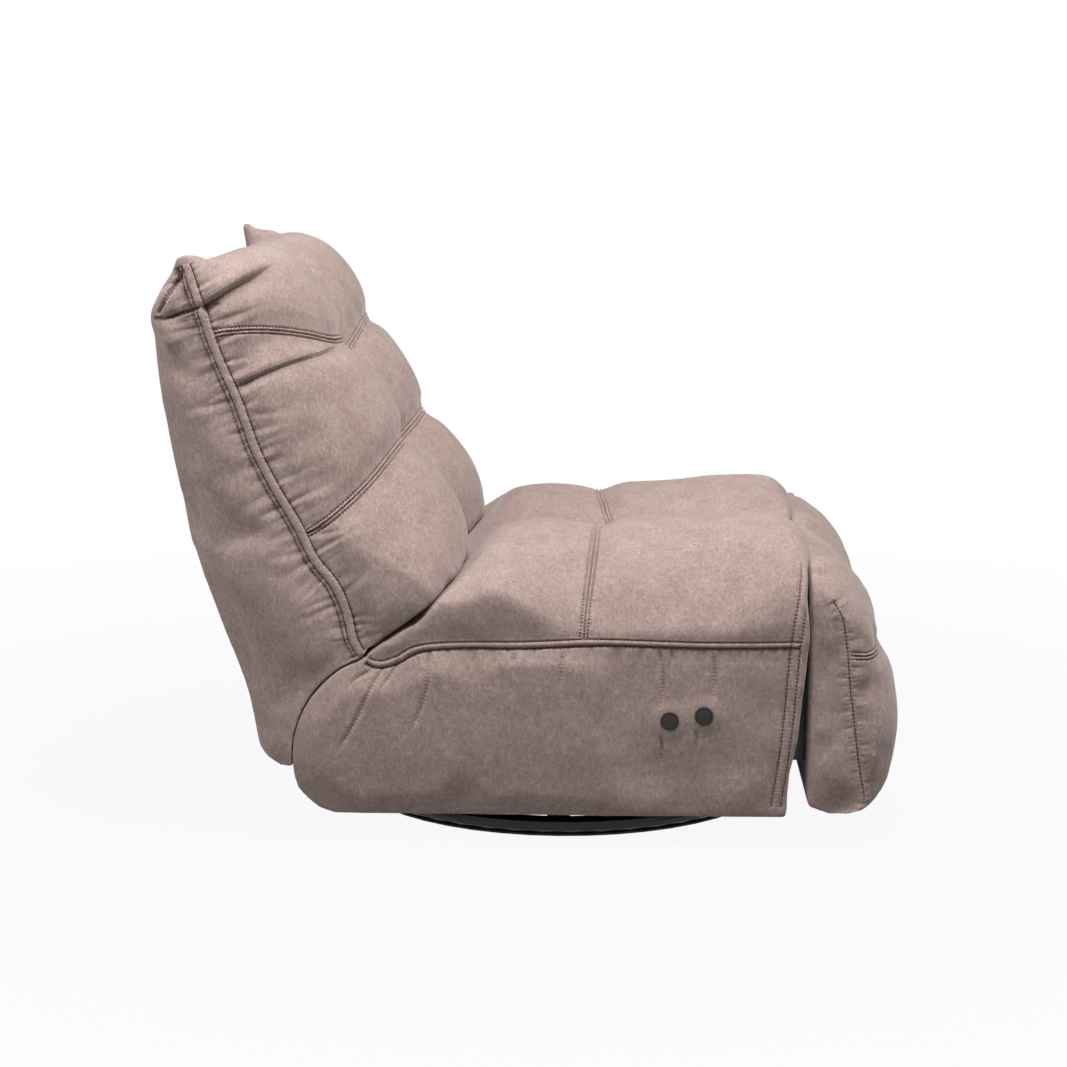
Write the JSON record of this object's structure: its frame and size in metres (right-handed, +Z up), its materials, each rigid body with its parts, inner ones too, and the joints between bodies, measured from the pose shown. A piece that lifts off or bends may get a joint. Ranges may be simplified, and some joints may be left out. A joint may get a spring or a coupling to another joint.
{
  "type": "power recliner",
  "caption": "Armless power recliner on a swivel ring: channelled seat and back, footrest that swings out on a link mechanism, reclining back and push buttons in the side.",
  "frame": {"origin": "on the floor, under the middle of the closed chair's length and width", "axes": "the chair faces -Y, +Z is up, and the sitter's right hand is at -X"},
  "size_m": [0.8, 1.078, 0.8641],
  "materials": {
    "suede": "taupe faux suede with a brushed nap",
    "black_steel": "black powder coat, satin",
    "zinc": "bright zinc plate",
    "plywood": "raw plywood",
    "timber": "raw softwood",
    "spring_steel": "plain wire",
    "black_plastic": "fine grain",
    "button_plastic": "polished, domed",
    "rubber": "matt",
    "dust_cloth": "thin non-woven cloth"
  },
  "bodies": {
    "base": {"base_ring": "black_steel", "base_arms": "black_steel", "floor_glide": "rubber", "hub_plate": "black_steel", "swivel_bearing": "zinc"},
    "seat_frame": {"swivel_plate": "black_steel", "long_rail_left": "black_steel", "long_rail_right": "black_steel", "front_cross_rail": "black_steel", "rear_cross_rail": "black_steel", "side_plate_left": "black_steel", "side_plate_right": "black_steel", "side_panel_left": "plywood", "side_panel_right": "plywood", "side_cover_left": "suede", "side_cover_right": "suede", "front_rail": "timber", "rear_rail": "timber", "seat_springs": "spring_steel", "dust_cover": "dust_cloth", "seat_cushion": "suede", "actuator_tube": "black_plastic", "gearbox": "black_plastic", "motor_can": "zinc", "power_inlet": "black_plastic", "motor_bracket": "black_steel", "control_box": "black_plastic", "button_bezel_open": "black_plastic", "button_bezel_close": "black_plastic"},
    "drive_links": {"torque_tube": "black_steel", "crank_pin": "zinc", "rear_link_left": "zinc", "rear_link_right": "zinc"},
    "front_links": {"front_link_left": "zinc", "front_link_right": "zinc"},
    "lower_links": {"lower_link_left": "zinc", "lower_link_right": "zinc"},
    "upper_links": {"upper_link_left": "zinc", "upper_link_right": "zinc"},
    "footrest": {"footrest_bracket_left": "black_steel", "footrest_bracket_right": "black_steel", "footrest_board": "plywood", "footrest_pad": "suede"},
    "actuator_rod_body": {"actuator_rod": "zinc", "rod_end_yoke": "zinc"},
    "back": {"back_iron_left": "black_steel", "back_iron_right": "black_steel", "back_post_left": "timber", "back_post_right": "timber", "back_low_rail": "timber", "back_top_rail": "timber", "back_springs": "spring_steel", "back_cushion": "suede", "back_shell": "suede"},
    "open_button": {"button_open": "button_plastic"},
    "close_button": {"button_close": "button_plastic"}
  },
  "joints": [
    {"name": "swivel", "type": "hinge", "parent": "base", "child": "seat_frame", "pos_m": [0, -0.039, 0.035], "axis": [0, 0, 1], "continuous": true},
    {"name": "footrest_open", "type": "hinge", "parent": "seat_frame", "child": "drive_links", "pos_m": [0, -0.239, 0.259], "axis": [-1, 0, 0], "range_deg": [0, 88]},
    {"name": "front_link_swing", "type": "hinge", "parent": "seat_frame", "child": "front_links", "pos_m": [0, -0.3482, 0.3304], "axis": [-1, 0, 0], "range_deg": [0, 88]},
    {"name": "lower_link_swing", "type": "hinge", "parent": "drive_links", "child": "lower_links", "pos_m": [0, -0.14, 0.16001], "axis": [-1, 0, 0], "range_deg": [-88, 0]},
    {"name": "upper_link_swing", "type": "hinge", "parent": "drive_links", "child": "upper_links", "pos_m": [0, -0.14, 0.10501], "axis": [-1, 0, 0], "range_deg": [-88, 0]},
    {"name": "footrest_tilt", "type": "hinge", "parent": "lower_links", "child": "footrest", "pos_m": [0, -0.4, 0.33], "axis": [-1, 0, 0], "range_deg": [0, 88]},
    {"name": "actuator_extend", "type": "slide", "parent": "seat_frame", "child": "actuator_rod_body", "axis": [0, -1, 0], "range_m": [0, 0.11125]},
    {"name": "back_recline", "type": "hinge", "parent": "seat_frame", "child": "back", "pos_m": [0, 0.19, 0.13], "axis": [-1, 0, 0], "range_deg": [0, 35]},
    {"name": "open_button_press", "type": "slide", "parent": "seat_frame", "child": "open_button", "axis": [1, 0, 0], "range_m": [0, 0.002], "stiffness_N_per_m": 400, "springref_m": -0.002},
    {"name": "close_button_press", "type": "slide", "parent": "seat_frame", "child": "close_button", "axis": [1, 0, 0], "range_m": [0, 0.002], "stiffness_N_per_m": 400, "springref_m": -0.002}
  ],
  "couplings": [
    {"joint": "front_link_swing", "follows": "footrest_open", "ratio": 1},
    {"joint": "lower_link_swing", "follows": "footrest_open", "ratio": -1},
    {"joint": "upper_link_swing", "follows": "footrest_open", "ratio": -1},
    {"joint": "footrest_tilt", "follows": "footrest_open", "ratio": 1},
    {"joint": "actuator_extend", "follows": "footrest_open", "m_per_rad": 0.072365}
  ]
}
